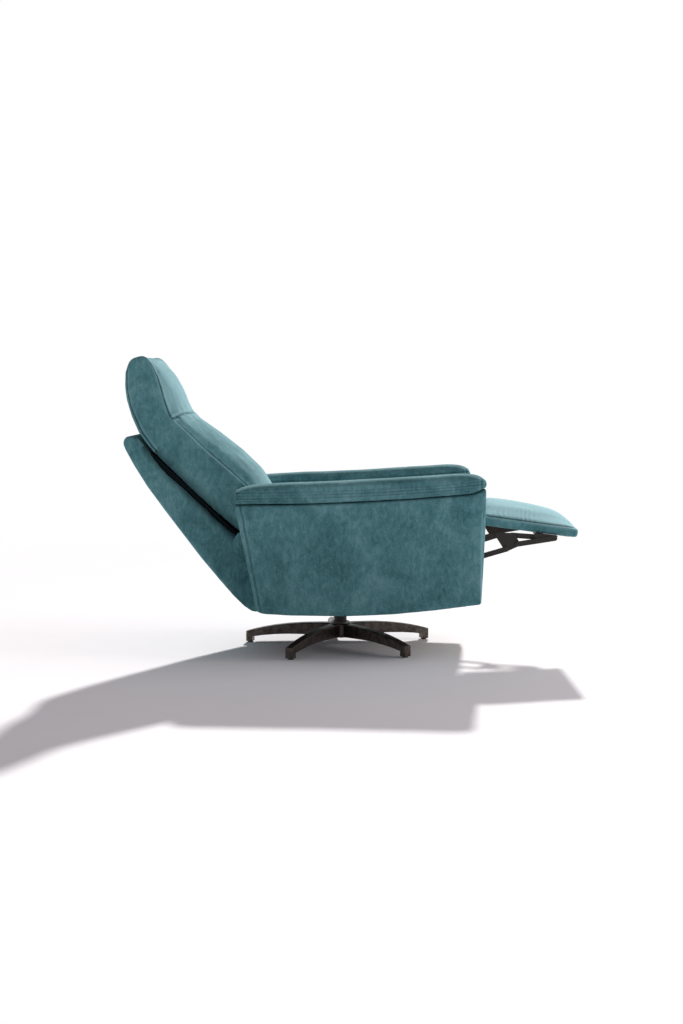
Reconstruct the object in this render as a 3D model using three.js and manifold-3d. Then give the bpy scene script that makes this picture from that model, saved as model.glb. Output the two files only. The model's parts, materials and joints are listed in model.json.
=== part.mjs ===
// Star base swivel recliner, leaning back with its footrest out.
// Millimetres, +Z up, +X towards the sitter's feet, floor at Z 0.
import * as THREE from 'three';
import { mergeVertices } from 'three/addons/utils/BufferGeometryUtils.js';
import Module from 'manifold-3d';

const wasm = await Module();
wasm.setup();

// Fits and steps used all over
const fit = 0.3;
const runningGap = 2;
const boreFit = 0.5;
const cutOverrun = 20;
const roundSteps = 28;
const barSteps = 18;
const rivetSteps = 14;
const glideSteps = 20;
const arcSteps = 10;
const cornerShare = 0.75;
const leastTurn = 0.001;
const roundShares = [0, 0.25, 0.6, 1, 1.6, 2.6];
const crownShares = [0.66, 0.33, 0];
const swellPower = 2.4;

// Overall places
const axisBehindOrigin = 38.1;
const seatWidth = 512;
const armThickness = 113;
const armUnderside = 157;

// Star base
const legCount = 5;
const legReach = 350;
const firstLegAngle = 23.7 * THREE.MathUtils.DEG2RAD;
const legHubDepth = 49;
const legTipDepth = 24;
const legTipTop = 41;
const legHubTop = 82;
const legTipWidth = 28;
const legHubWidth = 40;
const legEdgeRound = 3;
const legCornerShare = 0.3;
const legArchPower = 2.6;
const legTaperPower = 1.2;
const legWall = 5;
const footLength = 24;
const glideRadius = 10;
const glideHeight = 4;
const glideStemRadius = 4;
const glideStemLength = 12;
const hubRadius = 43;
const hubCollarRadius = 34;
const hubCollarHeight = 6;
const hubBottom = 33;

// Post and swivel
const postRadius = 23;
const postTaper = 2;
const postTop = 285;
const spigotRadius = 10;
const raceThickness = 6;
const housingWall = 6;
const housingLength = 72;
const housingRoof = 5;
const swivelPlateSide = 250;
const swivelPlateThickness = 4;
const swivelPlateCorner = 24;
const retainerRadius = 18;
const retainerThickness = 5;

// Seat structure
const crossRailWidth = 45;
const crossRailHeight = 50;
const crossRailSpread = 82;
const crossRailBolt = 5;
const seatFrameHeight = 44;
const seatRailWidth = 46;
const seatFrameClearance = 42;
const seatFrameSetback = 34;
const seatFrameSweepGap = 19.5;
const springCount = 5;
const springWire = 4;
const springSwing = 22;
const springBends = 7;
const lowerRailWidth = 20;
const lowerRailHeight = 40;
const frontRailSetback = 187;
const rearRailSetback = 22;
const dustClothThickness = 2.5;
const dustClothPostGap = 12;

// Seat cushion
const seatSetback = 41;
const seatHeight = 480;
const seatCrown = 13;
const seatNoseShare = 0.3;
const seatRearTuck = 7.5;
const seatEdgeRound = 12;
const seatDomeTop = 72 * THREE.MathUtils.DEG2RAD;

// Arms
const armRear = -282;
const armLength = 759;
const armHeight = 396;
const armLeanBack = 75;
const armEdgeRound = 12;
const armStartShare = 0.9584;
const armSlopeShare = 0.0119;
const armBowShare = 0.0861;
const armLipShare = 0.0485;
const armLipStartShare = 0.94;
const armLipRunShare = 0.08;
const padSeam = 0.4;
const padOverhang = 4;
const padHeight = 63;
const padCrown = 12;
const padNose = 15;

// Backrest
const pivotBehindAxis = 138;
const pivotHeight = 250;
const backSweepRadius = 230;
const sweepGap = 3.5;
const backClearance = 13;
const backFaceBehind = 22;
const backZeroAlong = 31;
const backLean = 46.2 * THREE.MathUtils.DEG2RAD;
const cushionLength = 700;
const cushionDepth = 144;
const cushionCrown = 50;
const cushionHeel = 11;
const headDraw = 14;
const cushionEdgeRound = 14;
const cushionArcEnd = 103.5 * THREE.MathUtils.DEG2RAD;
const arcPushShare = 0.4;
const arcLiftShare = 0.1;
const shellLength = 510;
const shellDepth = 166;
const shellEdgeRound = 10;
const pocketDepth = 30;
const pocketCheek = 15;
const backFrameLength = 420;
const backFrameDepth = 25;
const backFrameRim = 3;
const backFrameSheet = 2;
const lowerBarRadius = 12.5;
const lowerBarAlong = -8;
const lowerBarBehind = 20;
const hingeArmWidth = 34;
const hingePinRadius = 6;
const hingeHeadRadius = 11;

// Footrest linkage
const linkThickness = 4;
const linkWidth = 18;
const rivetRadius = 4;
const rivetHeadRadius = 7;
const rivetHeadThickness = 1.2;
const headGap = 0.4;
const torqueTubeRadius = 9;
const footCrossTubeRadius = 6;
const flangeWidth = 28;
const flangeThickness = 3;
const mechanismPlateWidth = 42;
const upperSwingLayer = 3;
const frontUpperLayer = 4;

// Rivets of the open footrest, ahead of the arms' front and above the seat frame's top
const lowerGroundPin = { ahead: -27, up: -55.5 };
const upperGroundPin = { ahead: -56, up: -10.5 };
const lowerMidPin = { ahead: 96, up: -19.5 };
const upperMidPin = { ahead: 66, up: 27.5 };
const frontLowerPin = { ahead: 133, up: -2.5 };
const frontUpperPin = { ahead: 116, up: 26.5 };
const bracketFrontPin = { ahead: 243, up: 14.5 };
const bracketRearPin = { ahead: 209, up: 19.5 };

// Footrest pad and board
const footrestAhead = 7;
const footrestAbove = 60.5;
const footrestDrop = 7.7 * THREE.MathUtils.DEG2RAD;
const footrestLength = 339;
const footrestClearance = 18;
const footrestEdge = 37;
const footrestCrown = 44;
const footrestRound = 9;
const boardMargin = 28;
const boardThickness = 10;
const flangeStart = 185;
const flangeLength = 82;

// Values worked out from the sizes above
const seatHalf = seatWidth / 2;
const armCentre = seatHalf + armThickness / 2;
const armFront = armRear + armLength;
const seatFront = armFront - seatSetback;
const seatFrameFront = seatFront - seatFrameSetback;
const seatFrameHalfWidth = seatHalf - seatFrameClearance;
const backHalfWidth = seatHalf - backClearance;
const pocketHalfWidth = backHalfWidth - pocketCheek;
const footrestHalfWidth = seatHalf - footrestClearance;
const railTop = postTop + raceThickness + housingRoof + swivelPlateThickness + crossRailHeight + 4 * fit;
const railBottom = railTop - crossRailHeight;
const frameBottom = railTop + fit;
const frameTop = frameBottom + seatFrameHeight;
const cushionBottom = frameTop + fit;
const seatSweepRadius = backSweepRadius - sweepGap;
const pivot = { x: -pivotBehindAxis, z: pivotHeight };
const frameSweepRadius = backSweepRadius - seatFrameSweepGap;
const seatFrameRear = pivot.x - Math.sqrt(frameSweepRadius ** 2 - (frameTop - pivot.z) ** 2);
const layerPitch = linkThickness + runningGap;
const plateOuter = seatHalf - fit;
const pinPoint = ({ ahead, up }) => ({ x: armFront + ahead, z: frameTop + up });
const lowerGroundPivot = pinPoint(lowerGroundPin);
const upperGroundPivot = pinPoint(upperGroundPin);
const lowerMidPivot = pinPoint(lowerMidPin);
const upperMidPivot = pinPoint(upperMidPin);
const frontLowerPivot = pinPoint(frontLowerPin);
const frontUpperPivot = pinPoint(frontUpperPin);
const bracketFrontPivot = pinPoint(bracketFrontPin);
const bracketRearPivot = pinPoint(bracketRearPin);
const footrestX = armFront + footrestAhead;
const footrestZ = frameTop + footrestAbove;

const finishes = {
  fabric: { color: 0x2f6a70, roughness: 0.95, metalness: 0 },
  castMetal: { color: 0x3b3735, roughness: 0.45, metalness: 0.8 },
  blackSteel: { color: 0x1f1d1c, roughness: 0.5, metalness: 0.6 },
  beech: { color: 0xb58a5c, roughness: 0.7, metalness: 0 },
  springSteel: { color: 0x70706e, roughness: 0.4, metalness: 0.9 },
  blackCloth: { color: 0x1a1a1c, roughness: 1, metalness: 0 },
  plastic: { color: 0x161616, roughness: 0.6, metalness: 0 },
};

const chair = new THREE.Group();
chair.position.x = -axisBehindOrigin;

// Adds a named piece to the chair
function place(name, geometry, finish) {
  const material = new THREE.MeshStandardMaterial(finishes[finish]);
  const mesh = new THREE.Mesh(geometry, material);
  mesh.name = name;
  chair.add(mesh);
  return mesh;
}

// Turns a closed mesh into a solid that can be cut and joined
function solid(geometry) {
  const bare = geometry.clone();
  bare.deleteAttribute('normal');
  bare.deleteAttribute('uv');
  const merged = mergeVertices(bare);
  const vertProperties = new Float32Array(merged.attributes.position.array);
  const triVerts = new Uint32Array(openTriangles(merged.index.array));
  return new wasm.Manifold(new wasm.Mesh({ numProp: 3, vertProperties, triVerts }));
}

// The triangles whose three corners are all different
function openTriangles(index) {
  const kept = [];
  for (let i = 0; i < index.length; i += 3) {
    const [a, b, c] = index.slice(i, i + 3);
    if (a !== b && b !== c && c !== a) {
      kept.push(a, b, c);
    }
  }
  return kept;
}

// Turns a solid back into a mesh
function meshOf(body) {
  const made = body.getMesh();
  const geometry = new THREE.BufferGeometry();
  const position = new THREE.BufferAttribute(new Float32Array(made.vertProperties), 3);
  geometry.setAttribute('position', position);
  geometry.setIndex(new THREE.BufferAttribute(new Uint32Array(made.triVerts), 1));
  geometry.computeVertexNormals();
  return geometry;
}

function joined(geometries) {
  return meshOf(geometries.map(solid).reduce((all, next) => all.add(next)));
}

function cut(geometry, tools) {
  return meshOf(tools.map(solid).reduce((left, tool) => left.subtract(tool), solid(geometry)));
}

// A box between two corners
function boxBetween(low, high) {
  const size = high.map((value, axis) => value - low[axis]);
  const box = new THREE.BoxGeometry(size[0], size[1], size[2]);
  return box.translate(low[0] + size[0] / 2, low[1] + size[1] / 2, low[2] + size[2] / 2);
}

// A side outline in X and Z, given thickness from yStart to yEnd
function slab(outline, yStart, yEnd) {
  const depth = yEnd - yStart;
  const options = { depth, bevelEnabled: false, curveSegments: arcSteps / 2 };
  const geometry = new THREE.ExtrudeGeometry(outline, options);
  geometry.rotateX(Math.PI / 2);
  return geometry.translate(0, yEnd, 0);
}

// A round bar or disc across the chair
function barAcross(point, radius, yStart, yEnd, steps = barSteps) {
  const bar = new THREE.CylinderGeometry(radius, radius, yEnd - yStart, steps);
  return bar.translate(point.x, (yStart + yEnd) / 2, point.z);
}

// A piece turned about an upright axis, from its radius and height pairs
function turned(profile, steps = roundSteps) {
  const points = profile.map(([radius, height]) => new THREE.Vector2(radius, height));
  const geometry = new THREE.LatheGeometry(points, steps);
  return meshOf(solid(geometry.rotateX(Math.PI / 2)));
}

// The same piece on both sides of the chair
function mirrored(geometry) {
  const copy = geometry.index ? geometry.toNonIndexed() : geometry.clone();
  copy.scale(1, -1, 1);
  const position = copy.attributes.position;
  for (let i = 0; i < position.count; i += 3) {
    const keep = [position.getX(i), position.getY(i), position.getZ(i)];
    position.setXYZ(i, position.getX(i + 1), position.getY(i + 1), position.getZ(i + 1));
    position.setXYZ(i + 1, ...keep);
  }
  return mergeVertices(new THREE.BufferGeometry().setAttribute('position', position));
}

// The sitter's left is +Y and right is -Y
function placePair(name, geometry, finish) {
  place(`${name}_left`, geometry, finish);
  place(`${name}_right`, mirrored(geometry), finish);
}

// The outline round a row of hubs that stand at the corners of a convex plate
function hubOutline(hubs) {
  const shape = new THREE.Shape();
  hubs.forEach((hub, i) => {
    const before = hubs[(i + hubs.length - 1) % hubs.length];
    const after = hubs[(i + 1) % hubs.length];
    const arrive = tangentAngle(before, hub);
    const leave = tangentAngle(hub, after);
    shape.absarc(hub.x, hub.z, hub.r, arrive, leave, false);
  });
  shape.closePath();
  return shape;
}

// The direction in which the common outer tangent of two hubs touches them
function tangentAngle(from, to) {
  const run = Math.hypot(to.x - from.x, to.z - from.z);
  const heading = Math.atan2(to.z - from.z, to.x - from.x);
  return heading - Math.acos((from.r - to.r) / run);
}

function hub(point, r) {
  return { x: point.x, z: point.z, r };
}

function addHole(shape, point, radius) {
  const round = new THREE.Path().absarc(point.x, point.z, radius + boreFit, 0, 2 * Math.PI, true);
  shape.holes.push(new THREE.Path().setFromPoints(round.getPoints(arcSteps)));
  return shape;
}

// Unit directions pointing into a closed outline, one for each of its points
function inwardNormals(outline) {
  const area = outline.reduce((sum, p, i) => {
    const q = outline[(i + 1) % outline.length];
    return sum + p.x * q.z - q.x * p.z;
  }, 0);
  const side = Math.sign(area);
  const edges = outline.map((p, i) => {
    const q = outline[(i + 1) % outline.length];
    const run = Math.hypot(q.x - p.x, q.z - p.z);
    return { x: (-side * (q.z - p.z)) / run, z: (side * (q.x - p.x)) / run };
  });
  return edges.map((after, i) => {
    const before = edges[(i + edges.length - 1) % edges.length];
    const size = Math.hypot(before.x + after.x, before.z + after.z);
    return { x: (before.x + after.x) / size, z: (before.z + after.z) / size };
  });
}

// How far each point of an outline may be drawn in before it crosses its neighbours
function cornerRoom(outline, inward) {
  const room = outline.map((p, i) => {
    const next = (i + 1) % outline.length;
    const run = Math.hypot(outline[next].x - p.x, outline[next].z - p.z);
    const turn = Math.hypot(inward[next].x - inward[i].x, inward[next].z - inward[i].z);
    return (cornerShare * run) / Math.max(turn, leastTurn);
  });
  return room.map((value, i) => Math.min(value, room[(i + room.length - 1) % room.length]));
}

// Closes a stack of equal rings into one body, with flat ends
function closedLoft(rings) {
  const around = rings[0].length;
  const positions = rings.flat().flatMap((point) => [point.x, point.y, point.z]);
  const faces = [];
  for (let ring = 0; ring + 1 < rings.length; ring += 1) {
    for (let i = 0; i < around; i += 1) {
      const a = ring * around + i;
      const b = ring * around + ((i + 1) % around);
      faces.push(a, b, a + around, b, b + around, a + around);
    }
  }
  const flat = rings[0].map((point) => new THREE.Vector2(point.x, point.z));
  const last = (rings.length - 1) * around;
  const turnedRound = THREE.ShapeUtils.isClockWise(flat);
  for (const cap of THREE.ShapeUtils.triangulateShape(flat, [])) {
    const [a, b, c] = turnedRound ? cap.toReversed() : cap;
    faces.push(c, b, a, last + a, last + b, last + c);
  }
  const geometry = new THREE.BufferGeometry();
  geometry.setAttribute('position', new THREE.Float32BufferAttribute(positions, 3));
  geometry.setIndex(signedVolume(positions, faces) < 0 ? faces.toReversed() : faces);
  return geometry;
}

function signedVolume(positions, faces) {
  let volume = 0;
  for (let i = 0; i < faces.length; i += 3) {
    const [a, b, c] = faces.slice(i, i + 3).map((v) => new THREE.Vector3().fromArray(positions, 3 * v));
    volume += a.dot(b.cross(c));
  }
  return volume;
}

// A stuffed form: a side outline carried across the chair. Each outline point has its own half
// width and a push, which is how far the filling lifts it at the middle.
function stuffedForm(outline, edgeRound, middle = 0) {
  const inward = inwardNormals(outline);
  const room = cornerRoom(outline, inward);
  const widest = Math.max(...outline.map((point) => point.half));
  const rounded = roundShares.map((share) => 1 - (share * edgeRound) / widest);
  const crowned = crownShares.map((share) => share * rounded.at(-1));
  const stations = [...rounded, ...crowned];
  const across = [...stations.map((t) => -t), ...stations.slice(0, -1).reverse()];
  const rings = across.map((t) => {
    const distance = Math.min((1 - Math.abs(t)) * widest, edgeRound);
    const inset = edgeRound - Math.sqrt(edgeRound ** 2 - (edgeRound - distance) ** 2);
    const swell = 1 - Math.abs(t) ** swellPower;
    return outline.map((point, i) => ({
      x: point.x + inward[i].x * Math.min(inset, room[i]) + (point.pushX ?? 0) * swell,
      y: middle + t * point.half,
      z: point.z + inward[i].z * Math.min(inset, room[i]) + (point.pushZ ?? 0) * swell,
    }));
  });
  return closedLoft(rings);
}

// Star base: five hollow cast legs on one hub
function legSection(reachShare) {
  const reach = reachShare * legReach;
  const rise = legTipTop + (legHubTop - legTipTop) * (1 - reachShare ** legArchPower);
  const depth = legHubDepth + (legTipDepth - legHubDepth) * reachShare ** legTaperPower;
  const half = (legHubWidth + (legTipWidth - legHubWidth) * reachShare) / 2;
  return { reach, top: rise, bottom: rise - depth, half };
}

function legRing({ reach, top, bottom, half }) {
  const corner = legEdgeRound;
  const outline = [
    [-half, bottom],
    [-half, top - corner],
    [-half + corner * legCornerShare, top - corner * legCornerShare],
    [-half + corner, top],
    [half - corner, top],
    [half - corner * legCornerShare, top - corner * legCornerShare],
    [half, top - corner],
    [half, bottom],
  ];
  return outline.map(([across, z]) => new THREE.Vector3(across, reach, z));
}

function legBody() {
  const shares = [0.02, 0.2, 0.4, 0.55, 0.7, 0.82, 0.92, 1];
  const sections = shares.map(legSection);
  const leg = closedLoft(sections.map(legRing));
  const hollow = shares.slice(1, -2).map(legSection).map((section) => ({
    ...section,
    half: section.half - legWall,
    top: section.top - legWall,
    bottom: section.bottom - cutOverrun,
  }));
  const channel = closedLoft(hollow.map(plainRing));
  const tip = legSection(1);
  const footLow = [-tip.half, legReach - footLength, glideHeight + fit];
  const foot = boxBetween(footLow, [tip.half, legReach, tip.top - legEdgeRound]);
  const socket = turned([
    [0, 0],
    [glideStemRadius + boreFit, 0],
    [glideStemRadius + boreFit, glideHeight + glideStemLength + fit],
    [0, glideHeight + glideStemLength + fit],
  ]);
  socket.translate(0, legReach - footLength / 2, 0);
  const whole = cut(joined([cut(leg, [channel]), foot]), [socket]);
  return whole.rotateZ(-Math.PI / 2);
}

function plainRing({ reach, top, bottom, half }) {
  const outline = [[-half, bottom], [-half, top], [half, top], [half, bottom]];
  return outline.map(([across, z]) => new THREE.Vector3(across, reach, z));
}

function starBase() {
  const leg = legBody();
  const legs = [];
  for (let i = 0; i < legCount; i += 1) {
    legs.push(leg.clone().rotateZ(firstLegAngle + (i * 2 * Math.PI) / legCount));
  }
  const hubBody = turned([
    [0, hubBottom],
    [hubRadius - legEdgeRound, hubBottom],
    [hubRadius, hubBottom + legEdgeRound],
    [hubRadius, legHubTop - legEdgeRound],
    [hubRadius - legEdgeRound, legHubTop],
    [hubCollarRadius, legHubTop],
    [hubCollarRadius - legEdgeRound / 2, legHubTop + hubCollarHeight],
    [0, legHubTop + hubCollarHeight],
  ]);
  const bore = turned([
    [0, hubBottom - cutOverrun],
    [postRadius - postTaper + boreFit, hubBottom - cutOverrun],
    [postRadius - postTaper + boreFit, hubBottom],
    [postRadius + boreFit, legHubTop + hubCollarHeight],
    [postRadius + boreFit, legHubTop + hubCollarHeight + cutOverrun],
    [0, legHubTop + hubCollarHeight + cutOverrun],
  ]);
  place('star_base', cut(joined([hubBody, ...legs]), [bore]), 'castMetal');
}

function footGlides() {
  for (let i = 0; i < legCount; i += 1) {
    const glide = turned([
      [0, 0],
      [glideRadius - glideHeight / 4, 0],
      [glideRadius, glideHeight / 4],
      [glideRadius, glideHeight],
      [glideStemRadius, glideHeight],
      [glideStemRadius, glideHeight + glideStemLength],
      [0, glideHeight + glideStemLength],
    ], glideSteps);
    glide.translate(legReach - footLength / 2, 0, 0);
    glide.rotateZ(firstLegAngle + (i * 2 * Math.PI) / legCount);
    place(`foot_glide_${i + 1}`, glide, 'plastic');
  }
}

// Post, bearing and the housing that turns on it
function swivelPost() {
  const raceBottom = postTop + fit;
  const raceTop = raceBottom + raceThickness;
  const roofBottom = raceTop + fit;
  const roofTop = roofBottom + housingRoof;
  const plateBottom = roofTop + fit;
  const plateTop = plateBottom + swivelPlateThickness;
  const spigotTop = plateTop + fit + 2 * retainerThickness;
  place('centre_post', turned([
    [0, hubBottom],
    [postRadius - postTaper, hubBottom],
    [postRadius, legHubTop + hubCollarHeight],
    [postRadius, postTop],
    [spigotRadius, postTop],
    [spigotRadius, spigotTop],
    [0, spigotTop],
  ]), 'blackSteel');
  place('bearing_race', turned([
    [spigotRadius + boreFit, raceBottom],
    [postRadius - boreFit, raceBottom],
    [postRadius - boreFit, raceTop],
    [spigotRadius + boreFit, raceTop],
    [spigotRadius + boreFit, raceBottom],
  ]), 'springSteel');
  place('swivel_housing', turned([
    [postRadius + boreFit, roofTop - housingLength],
    [postRadius + housingWall, roofTop - housingLength],
    [postRadius + housingWall, roofTop],
    [spigotRadius + boreFit, roofTop],
    [spigotRadius + boreFit, roofBottom],
    [postRadius + boreFit, roofBottom],
    [postRadius + boreFit, roofTop - housingLength],
  ]), 'blackSteel');
  place('post_retainer', turned([
    [spigotRadius + boreFit, plateTop + fit],
    [retainerRadius, plateTop + fit],
    [retainerRadius, plateTop + fit + retainerThickness],
    [spigotRadius + boreFit, plateTop + fit + retainerThickness],
    [spigotRadius + boreFit, plateTop + fit],
  ]), 'springSteel');
  const half = swivelPlateSide / 2;
  const corner = swivelPlateCorner;
  const outline = new THREE.Shape();
  outline.absarc(half - corner, half - corner, corner, 0, Math.PI / 2);
  outline.absarc(corner - half, half - corner, corner, Math.PI / 2, Math.PI);
  outline.absarc(corner - half, corner - half, corner, Math.PI, 1.5 * Math.PI);
  outline.absarc(half - corner, corner - half, corner, 1.5 * Math.PI, 2 * Math.PI);
  outline.closePath();
  addHole(outline, { x: 0, z: 0 }, spigotRadius);
  for (const along of [-crossRailSpread, crossRailSpread]) {
    for (const across of [corner - half, half - corner]) {
      addHole(outline, { x: along, z: across }, crossRailBolt);
    }
  }
  const options = { depth: swivelPlateThickness, bevelEnabled: false, curveSegments: arcSteps };
  const plate = new THREE.ExtrudeGeometry(outline, options).translate(0, 0, plateBottom);
  place('swivel_plate', plate, 'blackSteel');
}

// Beech rails and the springs between them
function seatStructure() {
  const railHalf = plateOuter - linkThickness - fit;
  for (const [name, along] of [['front', crossRailSpread], ['rear', -crossRailSpread]]) {
    const low = [along - crossRailWidth / 2, -railHalf, railBottom];
    const high = [along + crossRailWidth / 2, railHalf, railTop];
    place(`cross_rail_${name}`, boxBetween(low, high), 'beech');
  }
  const endWidth = seatFrameHalfWidth - seatRailWidth - fit;
  place('seat_rail_front', boxBetween(
    [seatFrameFront - seatRailWidth, -endWidth, frameBottom],
    [seatFrameFront, endWidth, frameTop],
  ), 'beech');
  place('seat_rail_rear', boxBetween(
    [seatFrameRear, -endWidth, frameBottom],
    [seatFrameRear + seatRailWidth, endWidth, frameTop],
  ), 'beech');
  placePair('seat_rail', boxBetween(
    [seatFrameRear, seatFrameHalfWidth - seatRailWidth, frameBottom],
    [seatFrameFront, seatFrameHalfWidth, frameTop],
  ), 'beech');
  const start = seatFrameRear + seatRailWidth + fit;
  const end = seatFrameFront - seatRailWidth - fit;
  const height = frameTop - springWire;
  const room = 2 * endWidth;
  for (let i = 0; i < springCount; i += 1) {
    const middle = ((i + 0.5) / springCount - 0.5) * room;
    place(`seat_spring_${i + 1}`, sinuousSpring(start, end, middle, height), 'springSteel');
  }
}

// A flat wavy spring with straight ends
function sinuousSpring(start, end, middle, height) {
  const lead = 4 * springWire;
  const points = [new THREE.Vector3(start, middle, height)];
  const steps = springBends * 5;
  for (let i = 0; i <= steps; i += 1) {
    const share = i / steps;
    const x = start + lead + share * (end - start - 2 * lead);
    const y = middle + springSwing * Math.sin(share * springBends * Math.PI);
    points.push(new THREE.Vector3(x, y, height));
  }
  points.push(new THREE.Vector3(end, middle, height));
  const path = new THREE.CatmullRomCurve3(points);
  const section = new THREE.Shape();
  section.absarc(0, 0, springWire / 2, 0, 2 * Math.PI);
  const options = { steps, extrudePath: path, curveSegments: 2, bevelEnabled: false };
  return new THREE.ExtrudeGeometry(section, options);
}

function underside() {
  const railHalf = seatHalf - fit;
  const frontRailFront = armFront - frontRailSetback;
  const rearRailRear = armRear + rearRailSetback;
  const clothTop = armUnderside + lowerRailWidth;
  const clothBottom = clothTop - dustClothThickness;
  place('lower_rail_front', boxBetween(
    [frontRailFront - lowerRailWidth, -railHalf, clothTop + fit],
    [frontRailFront, railHalf, clothTop + lowerRailHeight],
  ), 'beech');
  place('lower_rail_rear', boxBetween(
    [rearRailRear, -railHalf, clothTop + fit],
    [rearRailRear + lowerRailWidth, railHalf, clothTop + lowerRailHeight],
  ), 'beech');
  const cloth = boxBetween([rearRailRear, -railHalf, clothBottom], [frontRailFront, railHalf, clothTop]);
  const hole = turned([
    [0, clothBottom - cutOverrun],
    [postRadius + dustClothPostGap, clothBottom - cutOverrun],
    [postRadius + dustClothPostGap, clothTop + cutOverrun],
    [0, clothTop + cutOverrun],
  ]);
  place('dust_cover', cut(cloth, [hole]), 'blackCloth');
}

// Seat cushion: its rear end is domed round the back's hinge, so the back sweeps over it
function seatCushion() {
  const depth = seatHeight - cushionBottom;
  const frontHalf = seatHalf - runningGap * 2;
  const rearHalf = frontHalf - seatRearTuck;
  const bottomAngle = Math.PI - Math.asin((cushionBottom - pivot.z) / seatSweepRadius);
  const dome = [];
  for (let i = 0; i <= arcSteps; i += 1) {
    const angle = bottomAngle + (seatDomeTop - bottomAngle) * (i / arcSteps);
    const x = pivot.x + seatSweepRadius * Math.cos(angle);
    const z = pivot.z + seatSweepRadius * Math.sin(angle);
    dome.push({ x, z, half: rearHalf });
  }
  const last = dome.at(-1);
  const run = seatFront - last.x;
  const topShares = [[0.2, 0.97, 0.5], [0.45, 1, 1], [0.7, 1, 1], [0.88, 0.98, 1]];
  const top = topShares.map(([along, up, lift]) => ({
    x: last.x + along * run,
    z: cushionBottom + up * depth,
    half: frontHalf,
    pushZ: lift * seatCrown,
  }));
  const noseShares = [
    [0.965, 0.9, 0.8], [0.995, 0.7, 0.4], [1, 0.45, 0.2], [0.992, 0.2, 0], [0.975, 0.05, 0], [0.94, 0, 0],
  ];
  const nose = noseShares.map(([along, up, lift]) => ({
    x: last.x + along * run,
    z: cushionBottom + up * depth,
    half: frontHalf,
    pushZ: lift * seatCrown,
    pushX: lift * seatCrown * seatNoseShare,
  }));
  place('seat_cushion', stuffedForm([...dome, ...top, ...nose], seatEdgeRound), 'fabric');
}

// The height of the arm panel's top, which curls up at its front end
function armTopShare(along) {
  const lip = Math.max(0, (along - armLipStartShare) / armLipRunShare);
  return armBowedShare(along) + armLipShare * lip ** 2;
}

function armBowedShare(along) {
  return armStartShare + armSlopeShare * along + armBowShare * along ** 2;
}

// Arm panels with a bowed lower edge, and the padded caps on them
function arms() {
  const at = ([along, up]) => ({
    x: armRear + along * armLength,
    z: armUnderside + up * armHeight,
    half: armThickness / 2,
  });
  const lean = -armLeanBack / armLength;
  const seamShares = [0.99, 0.96, 0.92, 0.83, 0.68, 0.5, 0.3, 0.1, lean * 0.9];
  const bottomShares = [
    [0, 0.04], [0.03, 0.022], [0.15, 0.008], [0.38, 0], [0.6, 0.017], [0.8, 0.056], [1, 0.105],
  ];
  const frontShares = [[1.009, 0.4], [1.016, 0.72], [1.02, armTopShare(1.02)]];
  const topShares = seamShares.map((along) => [along, armTopShare(along)]);
  const rearShares = [
    [lean, armTopShare(lean)], [lean * 0.75, 0.73], [lean * 0.42, 0.42], [lean * 0.15, 0.16],
  ];
  const outline = [...bottomShares, ...frontShares, ...topShares, ...rearShares].map(at);
  placePair('arm', stuffedForm(outline, armEdgeRound, armCentre), 'fabric');

  const padRear = armRear - armLeanBack;
  const padLength = armFront + padNose - padRear;
  const padPoint = ([share, up, lift]) => {
    const x = padRear + share * padLength;
    const along = (x - armRear) / armLength;
    return {
      x,
      z: armUnderside + armBowedShare(along) * armHeight + padSeam + up * padHeight,
      half: armThickness / 2 + padOverhang,
      pushZ: lift * padCrown,
    };
  };
  const under = [1.02, ...seamShares].toReversed().map((along) => ({
    ...at([along, armTopShare(along)]),
    z: armUnderside + armTopShare(along) * armHeight + padSeam,
    half: armThickness / 2 + padOverhang,
  }));
  const crestShares = [
    [1, 0.5, 0], [0.99, 0.72, 0.4], [0.965, 0.87, 0.8], [0.9, 0.93, 1], [0.7, 0.95, 1], [0.45, 0.95, 1],
    [0.2, 0.92, 1], [0.07, 0.85, 1], [0.015, 0.72, 0.7], [0, 0.5, 0.2], [0.001, 0.22, 0],
  ];
  const pad = stuffedForm([...under, ...crestShares.map(padPoint)], armEdgeRound, armCentre);
  placePair('arm_pad', pad, 'fabric');
}

// Backrest points: along the back, and forward from the plane between shell and cushion
function backPoint(along, forward, extra = {}) {
  const sin = Math.sin(backLean);
  const cos = Math.cos(backLean);
  const up = sweepReach(0) + backZeroAlong + along;
  const out = forward - backFaceBehind;
  return { x: pivot.x - up * sin + out * cos, z: pivot.z + up * cos + out * sin, ...extra };
}

// How far up from the hinge a plane along the back meets the sweep round it
function sweepReach(forward) {
  return Math.sqrt(backSweepRadius ** 2 - (forward - backFaceBehind) ** 2);
}

function sweepEdge(forward) {
  return backPoint(sweepReach(forward) - sweepReach(0) - backZeroAlong, forward);
}

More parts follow.
